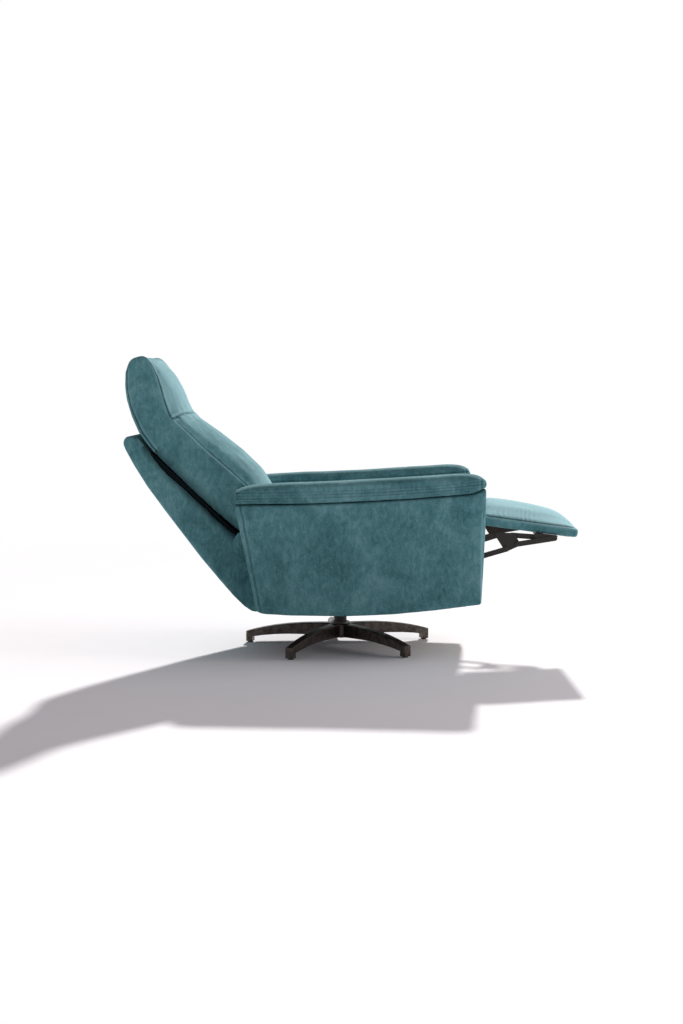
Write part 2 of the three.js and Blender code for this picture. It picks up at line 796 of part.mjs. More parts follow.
function backCushion() {
  const pushed = (amount) => ({
    pushX: amount * cushionCrown * Math.cos(backLean),
    pushZ: amount * cushionCrown * Math.sin(backLean),
  });
  const frontShares = [
    [0.16, 1.01, 1.1, 0], [0.3, 0.98, 1.2, 0], [0.44, 0.945, 1.1, 0], [0.57, 0.93, 0.85, 0],
    [0.635, 0.94, 0.88, 0],
    [0.675, 0.99, 0.95, 0.1], [0.73, 1.13, 0.95, 0.2], [0.82, 1.38, 0.6, 0.5], [0.9, 1.54, 0.1, 0.9],
    [0.935, 1.59, 0, 1], [0.965, 1.54, 0, 1], [0.988, 1.39, 0, 1], [0.997, 1.27, 0, 1],
    [0.994, 1.15, 0, 0.9],
    [0.974, 0.95, 0, 0.8], [0.927, 0.69, 0, 0.6], [0.873, 0.47, 0, 0.3], [0.8, 0.26, 0, 0.1],
    [0.72, 0.1, 0, 0],
    [0.64, 0.03, 0, 0], [0.55, 0.005, 0, 0], [0.36, 0, 0, 0], [0.18, 0.005, 0, 0], [0.09, 0.035, 0, 0],
  ];
  const upper = frontShares.map(([along, forward, lift, draw]) => backPoint(
    along * cushionLength,
    fit + forward * cushionDepth,
    { half: backHalfWidth - draw * headDraw, ...pushed(lift) },
  ));
  const startAngle = Math.PI - Math.acos(-(sweepEdge(cushionHeel).x - pivot.x) / backSweepRadius);
  const arc = [];
  for (let i = 0; i <= arcSteps; i += 1) {
    const angle = startAngle + (cushionArcEnd - startAngle) * (i / arcSteps);
    const swell = (i / arcSteps) ** 3 * cushionCrown;
    arc.push({
      x: pivot.x + backSweepRadius * Math.cos(angle),
      z: pivot.z + backSweepRadius * Math.sin(angle),
      half: backHalfWidth,
      pushX: swell * arcPushShare,
      pushZ: swell * arcLiftShare,
    });
  }
  place('back_cushion', stuffedForm([...arc, ...upper], cushionEdgeRound), 'fabric');
}

function backShell() {
  const outlineShares = [
    [0.969, 0.012], [1, -0.036], [1.022, -0.09], [1.029, -0.163], [1.018, -0.271], [0.976, -0.335],
    [0.86, -0.452],
    [0.7, -0.581], [0.5, -0.69], [0.3, -0.789], [0.1, -0.889], [-0.08, -0.955], [-0.24, -1],
    [-0.34, -1.003],
    [-0.4, -0.967], [-0.425, -0.904], [-0.41, -0.825], [-0.27, -0.783], [-0.135, -0.65], [-0.098, -0.434],
    [-0.073, -0.211], [-0.059, 0.012], [0.031, -0.024], [0.151, -0.1], [0.251, -0.15],
    [0.37, -0.157], [0.51, -0.14],
    [0.67, -0.11], [0.808, -0.048], [0.91, -0.006],
  ];
  const outline = outlineShares.map(([along, forward]) => backPoint(
    along * shellLength,
    forward * shellDepth,
    { half: backHalfWidth },
  ));
  const pocketCorners = [
    [lowerBarAlong - 3 * lowerBarRadius, cutOverrun],
    [lowerBarAlong - 3 * lowerBarRadius, -pocketDepth],
    [backFrameLength + fit, -pocketDepth],
    [backFrameLength + fit, cutOverrun],
  ];
  const pocket = new THREE.Shape(pocketCorners.map(([along, forward]) => {
    const point = backPoint(along, forward);
    return new THREE.Vector2(point.x, point.z);
  }));
  const hollow = slab(pocket, -pocketHalfWidth, pocketHalfWidth);
  const barSlot = barAcross(lowerBar(), lowerBarRadius + boreFit, -seatHalf, seatHalf);
  place('back_shell', cut(stuffedForm(outline, shellEdgeRound), [hollow, barSlot]), 'fabric');
}

// The welded frame in the shell's pocket, with its lower bar out to the hinge arms
function backFrame() {
  const tray = (alongLow, alongHigh, low, high, half) => {
    const corners = [[alongLow, low], [alongHigh, low], [alongHigh, high], [alongLow, high]];
    const outline = new THREE.Shape(corners.map(([along, forward]) => {
      const point = backPoint(along, forward);
      return new THREE.Vector2(point.x, point.z);
    }));
    return slab(outline, -half, half);
  };
  const start = lowerBarAlong;
  const half = pocketHalfWidth - fit;
  const block = tray(start, backFrameLength, -backFrameDepth, -fit, half);
  const inside = tray(
    start + backFrameRim,
    backFrameLength - backFrameRim,
    backFrameSheet - backFrameDepth,
    cutOverrun,
    half - backFrameRim,
  );
  const bar = barAcross(lowerBar(), lowerBarRadius, -hingeArmInner() + fit, hingeArmInner() - fit);
  place('back_frame', joined([cut(block, [inside]), bar]), 'blackSteel');
}

function lowerBar() {
  return backPoint(lowerBarAlong, -lowerBarBehind);
}

function layerOuter(layer) {
  return plateOuter - layer * layerPitch;
}

function hingeArmInner() {
  return layerOuter(1) - linkThickness;
}

// Steel side plates, with the fixed rivets of the links, and the hinge pins of the back
function mechanismPlates() {
  const outer = layerOuter(0);
  const inner = outer - linkThickness;
  const r = mechanismPlateWidth / 2;
  const rearTop = { x: -crossRailSpread, z: railTop - r };
  const shape = hubOutline([
    hub(pivot, r),
    hub(lowerGroundPivot, r / 2),
    hub(upperGroundPivot, r / 2),
    hub(rearTop, r),
  ]);
  addHole(shape, pivot, hingePinRadius);
  addHole(shape, lowerGroundPivot, rivetRadius);
  addHole(shape, upperGroundPivot, rivetRadius);
  placePair('mechanism_plate', slab(shape, inner, outer), 'blackSteel');
  placePair('swing_pin_lower', joined([
    ...rivet(lowerGroundPivot, 0),
    barAcross(lowerGroundPivot, rivetHeadRadius, layerOuter(1) + headGap, inner - headGap),
  ]), 'springSteel');
  placePair('swing_pin_upper', joined([
    ...rivet(upperGroundPivot, 0, upperSwingLayer),
    barAcross(upperGroundPivot, rivetHeadRadius, layerOuter(1) + headGap, inner - headGap),
  ]), 'springSteel');

  const pinHead = headGap + rivetHeadThickness;
  const armFace = hingeArmInner();
  placePair('back_hinge_pin', joined([
    barAcross(pivot, hingePinRadius, armFace - headGap - rivetHeadThickness / 2, outer - fit),
    barAcross(pivot, hingeHeadRadius, armFace - pinHead, armFace - headGap),
    barAcross(pivot, hingeHeadRadius, layerOuter(1) + headGap, inner - headGap),
  ]), 'springSteel');
}

// A rivet that stands on the plate of one layer, goes through another and ends in a head
function rivet(point, layer, last = layer + 1) {
  const root = layerOuter(layer) - linkThickness / 2;
  const face = layerOuter(last) - linkThickness;
  const tip = face - headGap - rivetHeadThickness;
  return [
    barAcross(point, rivetRadius, tip + rivetHeadThickness / 2, root, rivetSteps),
    barAcross(point, rivetHeadRadius, tip, face - headGap, rivetSteps),
  ];
}

// A flat link in one layer, bored where it turns on a rivet and carrying rivets where it holds one
function link(name, layer, hubs, bored, riveted = []) {
  const outer = layerOuter(layer);
  const shape = hubOutline(hubs);
  bored.forEach((point) => addHole(shape, point, rivetRadius));
  const body = slab(shape, outer - linkThickness, outer);
  const pins = riveted.flatMap((point) => rivet(point, layer));
  placePair(name, pins.length ? joined([body, ...pins]) : body, 'blackSteel');
}

function backHinge() {
  const bar = lowerBar();
  const r = hingeArmWidth / 2;
  const outer = layerOuter(1);
  const shape = hubOutline([hub(pivot, r), hub(bar, r)]);
  addHole(shape, pivot, hingePinRadius);
  placePair('back_hinge_arm', slab(shape, outer - linkThickness, outer), 'blackSteel');
}

// Footrest linkage: two swing links carry the mid plate, and two front links carry the bracket
function footrestLinks() {
  const r = linkWidth / 2;
  const lowerSwing = [hub(lowerGroundPivot, r), hub(lowerMidPivot, r)];
  link('lower_swing_link', 1, lowerSwing, [lowerGroundPivot], [lowerMidPivot]);
  const upperSwing = [hub(upperGroundPivot, r), hub(upperMidPivot, r)];
  link('upper_swing_link', upperSwingLayer, upperSwing, [upperGroundPivot]);
  const corners = [lowerMidPivot, frontLowerPivot, frontUpperPivot, upperMidPivot];
  const plateHubs = corners.map((point) => hub(point, r));
  link('mid_plate', 2, plateHubs, [lowerMidPivot, frontLowerPivot]);
  const frontLower = [hub(frontLowerPivot, r), hub(bracketFrontPivot, r)];
  link('front_lower_link', 1, frontLower, [], [frontLowerPivot, bracketFrontPivot]);
  const frontUpper = [hub(frontUpperPivot, r), hub(bracketRearPivot, r)];
  link('front_upper_link', frontUpperLayer, frontUpper, [bracketRearPivot]);
  const linkInner = layerOuter(upperSwingLayer) - linkThickness;
  const tubeEnd = linkInner - headGap - rivetHeadThickness - fit;
  place('torque_tube', barAcross(upperGroundPivot, torqueTubeRadius, -tubeEnd, tubeEnd), 'blackSteel');
}

// Footrest points: along the pad from its rear end, and up from its underside
function footPoint(along, up, extra = {}) {
  const sin = Math.sin(footrestDrop);
  const cos = Math.cos(footrestDrop);
  return {
    x: footrestX + along * cos + up * sin,
    z: footrestZ - along * sin + up * cos,
    ...extra,
  };
}

function footShape(corners) {
  return new THREE.Shape(corners.map(([along, up]) => {
    const point = footPoint(along, up);
    return new THREE.Vector2(point.x, point.z);
  }));
}

function footrest() {
  const outer = layerOuter(2);
  const inner = outer - linkThickness;
  const r = linkWidth / 2;
  const start = footPoint(flangeStart + r, -fit - r);
  const end = footPoint(flangeStart + flangeLength - r, -fit - r);
  const cheek = hubOutline([
    hub(start, r),
    hub(bracketRearPivot, r),
    hub(bracketFrontPivot, r),
    hub(end, r),
  ]);
  addHole(cheek, bracketFrontPivot, rivetRadius);
  const flange = footShape([
    [flangeStart, -fit - flangeThickness],
    [flangeStart + flangeLength, -fit - flangeThickness],
    [flangeStart + flangeLength, -fit],
    [flangeStart, -fit],
  ]);
  placePair('footrest_bracket', joined([
    slab(cheek, inner, outer),
    slab(flange, inner - flangeWidth, outer),
    ...rivet(bracketRearPivot, 2, frontUpperLayer),
  ]), 'blackSteel');
  const between = {
    x: (bracketFrontPivot.x + bracketRearPivot.x) / 2,
    z: (bracketFrontPivot.z + bracketRearPivot.z) / 2,
  };
  const tubeCentre = { x: between.x + footCrossTubeRadius / 2, z: between.z + footCrossTubeRadius / 2 };
  const tubeEnd = inner - fit;
  place('footrest_cross_tube', barAcross(tubeCentre, footCrossTubeRadius, -tubeEnd, tubeEnd), 'blackSteel');

  const boardHalf = footrestHalfWidth - boardMargin;
  const boardEnd = footrestLength - boardMargin;
  const boardShape = footShape([
    [boardMargin, 0],
    [boardEnd, 0],
    [boardEnd, boardThickness],
    [boardMargin, boardThickness],
  ]);
  place('footrest_board', slab(boardShape, -boardHalf, boardHalf), 'beech');
  const recess = footShape([
    [boardMargin - fit, -cutOverrun],
    [boardEnd + fit, -cutOverrun],
    [boardEnd + fit, boardThickness + fit],
    [boardMargin - fit, boardThickness + fit],
  ]);
  const padShares = [
    [0.02, 0, 0], [0.3, 0, 0], [0.6, 0, 0], [0.85, 0, 0], [0.97, 0, 0],
    [0.99, 0.05, 0],
    [1, 0.35, 0], [1, 0.65, 0], [0.985, 0.86, 0.1], [0.95, 0.93, 0.36], [0.89, 0.93, 0.64],
    [0.8, 0.93, 0.84],
    [0.64, 0.94, 0.98], [0.5, 0.97, 1.03], [0.36, 1.03, 1.03], [0.2, 1.06, 1], [0.07, 1.03, 0.95],
    [0.015, 0.85, 0.5],
    [0, 0.5, 0.2], [0.004, 0.15, 0],
  ];
  const outline = padShares.map(([along, up, lift]) => footPoint(
    along * footrestLength,
    up * footrestEdge,
    {
      half: footrestHalfWidth,
      pushX: lift * footrestCrown * Math.sin(footrestDrop),
      pushZ: lift * footrestCrown * Math.cos(footrestDrop),
    },
  ));
  const pocket = slab(recess, -boardHalf - fit, boardHalf + fit);
  place('footrest_pad', cut(stuffedForm(outline, footrestRound), [pocket]), 'fabric');
}

starBase();
footGlides();
swivelPost();
seatStructure();
underside();
seatCushion();
arms();
mechanismPlates();
backHinge();
backFrame();
backShell();
backCushion();
footrestLinks();
footrest();

export default chair;
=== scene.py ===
# A swivel recliner in brushed teal velour, leaning back with its footrest out, on a pale studio floor.
# Lengths are metres where no name says millimetres. +Z is up and +X runs towards the sitter's feet,
# in the same frame as the solids.
import json
import math

import bpy
import numpy as np
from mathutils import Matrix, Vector, noise
from mathutils.bvhtree import BVHTree


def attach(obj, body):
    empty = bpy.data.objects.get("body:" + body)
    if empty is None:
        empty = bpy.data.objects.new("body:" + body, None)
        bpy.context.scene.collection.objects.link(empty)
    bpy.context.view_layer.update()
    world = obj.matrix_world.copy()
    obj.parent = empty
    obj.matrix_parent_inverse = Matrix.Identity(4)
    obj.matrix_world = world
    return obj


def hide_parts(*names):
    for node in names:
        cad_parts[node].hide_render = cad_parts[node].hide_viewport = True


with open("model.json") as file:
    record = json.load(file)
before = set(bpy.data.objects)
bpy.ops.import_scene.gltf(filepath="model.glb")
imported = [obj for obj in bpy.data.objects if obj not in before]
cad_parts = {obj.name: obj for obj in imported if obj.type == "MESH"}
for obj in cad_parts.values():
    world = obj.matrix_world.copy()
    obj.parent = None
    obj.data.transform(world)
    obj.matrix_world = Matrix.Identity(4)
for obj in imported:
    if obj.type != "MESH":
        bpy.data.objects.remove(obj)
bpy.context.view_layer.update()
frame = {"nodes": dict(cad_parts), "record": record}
nodes = frame["nodes"]
scene = bpy.context.scene

AXIS_X = -0.0381  # where the swivel's axis stands


# Camera, at the photograph's viewing angle

CAMERA_DIP = 4.70  # degrees below level

lens = bpy.data.cameras.new("camera")
lens.sensor_fit = "VERTICAL"
lens.sensor_height = 36
lens.lens = 53.0
camera = bpy.data.objects.new("camera", lens)
camera.location = (AXIS_X + 0.0043, -5.4077, 0.9279)
camera.rotation_euler = (math.radians(90 - CAMERA_DIP), 0, 0)
scene.collection.objects.link(camera)
scene.camera = camera


# Materials

def linear(hex_code):
    values = [int(hex_code[i : i + 2], 16) / 255 for i in (0, 2, 4)]
    return tuple(((v + 0.055) / 1.055) ** 2.4 if v > 0.04 else v / 12.92 for v in values) + (1,)


def per_metre(millimetres):
    return 1000 / millimetres


def add(tree, kind, inputs=(), **settings):
    made = tree.nodes.new(kind)
    for key, value in settings.items():
        setattr(made, key, value)
    for key, value in dict(inputs).items():
        if isinstance(value, bpy.types.NodeSocket):
            tree.links.new(value, made.inputs[key])
        else:
            made.inputs[key].default_value = value
    return made


def finish(name, **numbers):
    material = bpy.data.materials.new(name)
    material.use_nodes = True
    shader = material.node_tree.nodes["Principled BSDF"]
    for key, value in numbers.items():
        shader.inputs[key.replace("_", " ")].default_value = value
    return material, material.node_tree, shader


# Velour: short polyester pile on a woven ground, brushed by hand. It gives the eye a deep, dull teal with
# cloudy lighter and darker strokes, a faint bloom along its edges and no shine. A hand's strokes are about
# 143 mm across and the smears in them 14 mm. A tuft of pile is 0.5 mm, too fine to show, so the nap is drawn
# at 2.6 mm. The piece's per-point value is painted highlight above nought, on seam lips, piping and pucker
# crests, and painted shade below it, in grooves, folds and beside gaps.
STROKE_MM = 143
SMEAR_MM = 14.3
NAP_MM = 2.63
# The first of these is the painted shade tone and the last the painted highlight tone; the three between are the
# pile's own tones
PAINTED_SHADE_TONE, DARK_PILE, PILE, PALE_PILE, PAINTED_HIGHLIGHT_TONE = "16292c", "3a656b", "54848a", "719da4", "93bdc4"
# A painted highlight tone for faces that look up or forward
PAINTED_FACING_LIGHT = "b2d8de"


def velour(name, bloom, way, faced_from, faced_to, share, facing_painted_tone):
    material, tree, shader = finish(
        name, Roughness=0.9, Sheen_Weight=bloom, Sheen_Roughness=0.35, Sheen_Tint=linear("6fb3bc"),
        Specular_IOR_Level=0.08,
    )
    place = add(tree, "ShaderNodeTexCoord").outputs
    hanging = add(tree, "ShaderNodeMapping", {"Vector": place["Object"], "Scale": (1.0, 1.0, 0.5)}).outputs[0]
    strokes = add(tree, "ShaderNodeTexNoise", {
        "Vector": place["Object"], "Scale": per_metre(STROKE_MM), "Detail": 4, "Roughness": 0.6, "Distortion": 0.6,
    }).outputs["Fac"]
    smears = add(tree, "ShaderNodeTexNoise", {
        "Vector": hanging, "Scale": per_metre(SMEAR_MM), "Detail": 6, "Roughness": 0.72, "Distortion": 0.6,
    }).outputs["Fac"]
    nap = add(tree, "ShaderNodeTexNoise", {
        "Vector": hanging, "Scale": per_metre(NAP_MM), "Detail": 3, "Roughness": 0.7,
    }).outputs["Fac"]
    brushing = add(tree, "ShaderNodeMix", {"Factor": 0.5, "A": strokes, "B": smears}).outputs[0]
    lie = add(tree, "ShaderNodeMix", {"Factor": 0.24, "A": brushing, "B": nap}).outputs[0]

    # The pile lies from dark to light, with the cloth's own tone in the middle
    raised = add(tree, "ShaderNodeMapRange", {"Value": lie, "From Min": 0.38, "From Max": 0.5}).outputs[0]
    flat = add(tree, "ShaderNodeMapRange", {"Value": lie, "From Min": 0.5, "From Max": 0.62}).outputs[0]
    colour = add(tree, "ShaderNodeMix", {
        "Factor": raised, "A": linear(DARK_PILE), "B": linear(PILE),
    }, data_type="RGBA").outputs["Result"]
    colour = add(tree, "ShaderNodeMix", {
        "Factor": flat, "A": colour, "B": linear(PALE_PILE),
    }, data_type="RGBA").outputs["Result"]

    # A face that looks one way is blended towards a given tone: painted highlight on the back and footrest, painted
    # shade on the seat and arms
    facing = add(tree, "ShaderNodeSeparateXYZ", {"Vector": place["Normal"]}).outputs[way]
    facing_painted_share = add(tree, "ShaderNodeMapRange", {
        "Value": facing, "From Min": faced_from, "From Max": faced_to, "To Max": share,
    }).outputs[0]
    colour = add(tree, "ShaderNodeMix", {
        "Factor": facing_painted_share, "A": colour, "B": linear(facing_painted_tone),
    }, data_type="RGBA").outputs["Result"]

    # Painted highlight where the per-point value is above nought, painted shade where it is below
    painted_shading = add(tree, "ShaderNodeAttribute", attribute_name="painted_shading").outputs["Fac"]
    painted_shade_share = add(tree, "ShaderNodeMath", {0: painted_shading, 1: -1.0}, operation="MULTIPLY").outputs[0]
    colour = add(tree, "ShaderNodeMix", {
        "Factor": painted_shading, "A": colour, "B": linear(PAINTED_HIGHLIGHT_TONE),
    }, data_type="RGBA").outputs["Result"]
    colour = add(tree, "ShaderNodeMix", {
        "Factor": painted_shade_share, "A": colour, "B": linear(PAINTED_SHADE_TONE),
    }, data_type="RGBA").outputs["Result"]
    tree.links.new(colour, shader.inputs["Base Color"])

    rough = add(tree, "ShaderNodeBump", {"Height": smears, "Strength": 0.16, "Distance": 0.004}).outputs[0]
    pile = add(tree, "ShaderNodeBump", {"Height": nap, "Normal": rough, "Strength": 0.22, "Distance": 0.0012})
    tree.links.new(pile.outputs[0], shader.inputs["Normal"])
    return material


# The grain of a hard or plain finish: as wide as given, and so many times as long, along X
def grained(name, dark, light, wide_mm, long=1, relief=0.1, height=0.0006, **numbers):
    material, tree, shader = finish(name, **numbers)
    place = add(tree, "ShaderNodeTexCoord").outputs["Object"]
    drawn = add(tree, "ShaderNodeMapping", {"Vector": place, "Scale": (1 / long, 1, 1)}).outputs[0]
    grain = add(tree, "ShaderNodeTexNoise", {
        "Vector": drawn, "Scale": per_metre(wide_mm), "Detail": 6, "Roughness": 0.65,
    }).outputs["Fac"]
    share = add(tree, "ShaderNodeMapRange", {"Value": grain, "From Min": 0.38, "From Max": 0.62}).outputs[0]
    colour = add(tree, "ShaderNodeMix", {
        "Factor": share, "A": linear(dark), "B": linear(light),
    }, data_type="RGBA").outputs["Result"]
    tree.links.new(colour, shader.inputs["Base Color"])
    skin = add(tree, "ShaderNodeBump", {"Height": grain, "Strength": relief, "Distance": height}).outputs[0]
    tree.links.new(skin, shader.inputs["Normal"])
    return material


materials = {
    # The seat's top lies in the arms' shade and gets a little painted shade, towards the painted shade tone
    "seat_fabric": velour("seat_velour", 0.15, "Z", 0.4, 1.0, 0.1, PAINTED_SHADE_TONE),
    # The arm caps' tops are darkened with painted shade
    "arm_fabric": velour("arm_velour", 0.1, "Z", 0.3, 1.0, 0.2, PAINTED_SHADE_TONE),
    # The back's front, the head's most, is lightened with a painted highlight
    "back_fabric": velour("back_velour", 0.12, "X", 0.5, 1.0, 0.5, PAINTED_FACING_LIGHT),
    # So is the footrest's top
    "footrest_fabric": velour("footrest_velour", 0.15, "Z", 0.3, 0.8, 0.5, PAINTED_FACING_LIGHT),
    # Cast aluminium under a baked bronze lacquer: a brown-black satin with a soft metal glow on the legs' tops.
    # The casting's skin is cloudy at about 17 mm.
    "base_metal": grained("bronze_lacquered_aluminium", "3a3431", "57504b", 16.7, Metallic=0.75, Roughness=0.36),
    # Stamped steel, powder-coated: nearly all paint, a dull black with a blunt highlight. The coat's orange
    # peel is about 1 mm, too fine to show, so it is drawn at 11 mm.
    "black_steel": grained(
        "black_powder_coat", "161211", "241e1c", 11.1, relief=0.15, Metallic=0.35, Roughness=0.48
    ),
    # Bright drawn steel: plain grey metal with the die's lines along it. Those are about 0.1 mm wide, too fine
    # to show, so they are drawn 1 mm wide and six times as long.
    "bare_steel": grained("drawn_steel", "6d6c69", "8b8a86", 1.04, long=6, Metallic=1.0, Roughness=0.32),
    # Planed beech, unpainted: a warm, matt, pale brown, with growth lines 2.75 mm wide along the board
    "frame_wood": grained("planed_beech", "a97f52", "c79e6f", 2.75, long=14, relief=0.2, Roughness=0.62),
    # Spunbond polypropylene: a felted black that takes all light. Its fibres are 0.02 mm, too fine to show,
    # so it is drawn in 2 mm flecks.
    "dust_cloth": grained("spunbond_cloth", "101011", "1e1e20", 2, relief=0.5, height=0.001, Roughness=0.95),
    # Moulded nylon: black with a low shine. The mould's grain is under 0.1 mm, too fine to show, so it is
    # drawn at 3.3 mm.
    "glide_plastic": grained("moulded_nylon", "121212", "1c1c1c", 3.33, Roughness=0.5),
}
for row in frame["record"]["subparts"]:
    shown = nodes[row["node"]]
    shown.data.materials.clear()
    shown.data.materials.append(materials[row["material_slot"]])

# The back's frame, seen in the gap behind the cushion, is a dull blue-black as painted shade, so the gap reads
# as deep. Its threads are 0.6 mm, too fine to show, so it is drawn in 2 mm flecks.
nodes["back_frame"].data.materials[0] = grained(
    "gap_painted_shade", "0a1214", "131e21", 2, relief=0.5, Roughness=0.95, Specular_IOR_Level=0.1
)
# The low rails between the arms are covered like the arms
for rail in ("lower_rail_front", "lower_rail_rear"):
    nodes[rail].data.materials[0] = materials["arm_fabric"]


# Points, stuffing and covers

def points_of(mesh):
    flat = np.empty(len(mesh.vertices) * 3)
    mesh.vertices.foreach_get("co", flat)
    return flat.reshape(-1, 3)


def normals_of(mesh):
    flat = np.empty(len(mesh.vertices) * 3)
    mesh.vertices.foreach_get("normal", flat)
    return flat.reshape(-1, 3)


def put_points(mesh, points):
    mesh.vertices.foreach_set("co", points.ravel())
    mesh.update()


def set_fast(piece):
    graph = bpy.context.evaluated_depsgraph_get()
    baked = bpy.data.meshes.new_from_object(piece.evaluated_get(graph))
    piece.modifiers.clear()
    piece.data = baked


def worked(piece, kind, **settings):
    change = piece.modifiers.new(kind.lower(), kind)
    for key, value in settings.items():
        setattr(change, key, value)
    set_fast(piece)


STUFFING_STEPS = 20
STUFFING_PRESSURE = 3.0
CAP_PRESSURE = 2.5
LEAST_SWELL = 0.15  # the share of the swell that is left where the cover is held


# The cover is blown up like a stuffed cushion, and swells at most so far where it is free to
def stuffed(piece, pressure, swell, give, free):
    start = points_of(piece.data)
    settings = piece.modifiers.new("cloth", "CLOTH").settings
    settings.quality = 4
    settings.mass = 0.3
    settings.tension_stiffness = 12
    settings.compression_stiffness = 12
    settings.shear_stiffness = 4
    settings.bending_stiffness = 0.4
    settings.use_pressure = True
    settings.uniform_pressure_force = pressure
    settings.shrink_min = -give
    settings.effector_weights.gravity = 0
    cache = piece.modifiers["cloth"].point_cache
    cache.frame_start = 1
    cache.frame_end = STUFFING_STEPS
    for step in range(1, STUFFING_STEPS + 1):
        scene.frame_set(step)
    set_fast(piece)
    scene.frame_set(1)
    move = points_of(piece.data) - start
    reach = np.linalg.norm(move, axis=1, keepdims=True)
    most = swell * (LEAST_SWELL + (1 - LEAST_SWELL) * free(start))[:, None]
    put_points(piece.data, start + move * np.minimum(1, most / np.maximum(reach, 1e-9)))


# A cover stands proud of its solid by no more than it may
def kept_near(piece, solid, proud):
    tree = BVHTree.FromPolygons([v.co for v in solid.vertices], [f.vertices for f in solid.polygons])
    points = points_of(piece.data)
    for i, point in enumerate(points):
        near, normal, _, _ = tree.find_nearest(Vector(point))
        out = (Vector(point) - near).dot(normal)
        if out > proud[i]:
            points[i] = Vector(point) - normal * (out - proud[i])
    put_points(piece.data, points)


def eased(value, low, high):
    share = np.clip((value - low) / (high - low), 0, 1)
    return share * share * (3 - 2 * share)


def wander(points, scale, seed):
    return np.array([noise.noise(Vector(p) * scale + Vector((seed, seed, seed))) for p in points])


SOFTENED_BEFORE, SOFTENED_AFTER = 70, 25  # rounds of smoothing where a cover is to lose the solid's facets
PROUD_HELD, PROUD_FREE = 0.0005, 0.003


def upholster(
    name, node, body, slot, grid=0.006, rounding=10, taken_in=0.0, stuffing=None, free=None, mellow=None,
    raised=None, seams=(),
):
    solid = nodes[node].data
    piece = bpy.data.objects.new(name, solid.copy())
    scene.collection.objects.link(piece)
    worked(piece, "REMESH", mode="VOXEL", voxel_size=grid)
    worked(piece, "SMOOTH", factor=0.5, iterations=rounding)
    if mellow:
        group = piece.vertex_groups.new(name="mellow")
        for i, weight in enumerate(mellow(points_of(piece.data), normals_of(piece.data))):
            group.add((i,), float(weight), "REPLACE")
        worked(piece, "SMOOTH", factor=0.5, iterations=SOFTENED_BEFORE, vertex_group="mellow")
    if taken_in:
        put_points(piece.data, points_of(piece.data) - taken_in * normals_of(piece.data))
    if stuffing:
        stuffed(piece, *stuffing, free)
    if mellow:
        worked(piece, "SMOOTH", factor=0.5, iterations=SOFTENED_AFTER, vertex_group="mellow")
    worked(piece, "SUBSURF", levels=1, render_levels=1)
    points = points_of(piece.data)
    normals = normals_of(piece.data)
    proud = np.full(len(points), PROUD_HELD)
    if raised:
        rise = raised(points)
        proud += np.linalg.norm(rise, axis=1)
        points += rise
    painted_shading = np.zeros(len(points))
    lift = np.zeros(len(points))
    for sewn in seams:
        drop, painted_tone = sewn(points, normals)
        lift += drop
        painted_shading += painted_tone
    put_points(piece.data, points + lift[:, None] * normals)
    if free:
        proud += PROUD_FREE * free(points)
    kept_near(piece, solid, proud)
    # Kept per point for the material: painted highlight above nought, painted shade below
    layer = piece.data.attributes.new("painted_shading", "FLOAT", "POINT")
    layer.data.foreach_set("value", np.clip(painted_shading, -1, 1).astype(np.float32))
    piece.data.materials.clear()
    piece.data.materials.append(materials[slot])
    piece.data.polygons.foreach_set("use_smooth", [True] * len(piece.data.polygons))
    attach(piece, body)
    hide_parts(node)


# Sewing. A seam lies where a measure of place is nought. Each kind gives how far it lifts the cover at
# each point, and how much painted highlight (above nought) or painted shade (below) it puts there.

def bell(value, width):
    return np.exp(-((value / width) ** 2))


def seam(measure, where, width=0.0032, depth=0.0022, painted_highlight=0.3, shade=0.8, lip=0.0008):
    def drawn(points, normals):
        off = measure(points)
        mask = where(points, normals).astype(float)
        groove = -depth * bell(off, width) + lip * bell(np.abs(off) - 2.2 * width, width)
        painted_tone = painted_highlight * bell(np.abs(off) - 2 * width, 1.2 * width) - shade * bell(off, 0.9 * width)
        return groove * mask, painted_tone * mask
    return drawn


# A band of painted shade along a line, with no groove; a negative shade paints a highlight instead
def painted_band(measure, where, width, shade):
    return seam(measure, where, width=width, depth=0.0, painted_highlight=0.0, shade=shade, lip=0.0)


# A raised cord with a painted highlight on it and painted shade in the ditch beside it
def piping(measure, where, width=0.004, height=0.0016, painted_highlight=0.7):
    def drawn(points, normals):
        off = measure(points)
        mask = where(points, normals).astype(float)
        cord = bell(off, width)
        ditch = bell(off - 2 * width, width)
        return height * (cord - 0.6 * ditch) * mask, (painted_highlight * cord - 0.7 * ditch) * mask
    return drawn


# Puckers that run off a seam and fade within their reach, with painted highlight on their crests and painted shade
# in their troughs
def gathers(measure, run, where, pitch, depth, reach, seed):
    def drawn(points, normals):
        off = measure(points)
        drift = wander(points, 9, seed)
        wave = np.sin(2 * math.pi * (run(points) / pitch + 1.3 * drift))
        size = np.clip(0.5 + 1.4 * wander(points, 14, seed + 5), 0, 1)
        mask = where(points, normals) * (off > 0) * np.exp(-off / reach)
        return depth * wave * size * mask, 0.45 * wave * size * mask
    return drawn


# Long shallow folds, one at each height, that come and go, with painted shade along them
def creases(measure, heights, where, width, depth, seed):
    def drawn(points, normals):
        off = measure(points) + 0.0015 * wander(points, 5, seed)
        lift = np.zeros(len(points))
        for i, height in enumerate(heights):
            strength = np.clip(0.55 + wander(points * (1, 1, 0.2), 4, seed + 3 * i), 0, 1)
            lift -= depth * strength * bell(off - height, width)
        return lift * where(points, normals), lift / depth * 0.6 * where(points, normals)
    return drawn


def rumpled(depth, scale, seed, where=None):
    def drawn(points, normals):
        mask = 1 if where is None else where(points, normals)
        return depth * wander(points, scale, seed) * mask, np.zeros(len(points))
    return drawn


def across(p):
    return np.abs(p[:, 1])


def along(p):
    return p[:, 0] - AXIS_X


# Places on the back: up along it from its foot, and forward from the plane between shell and cushion

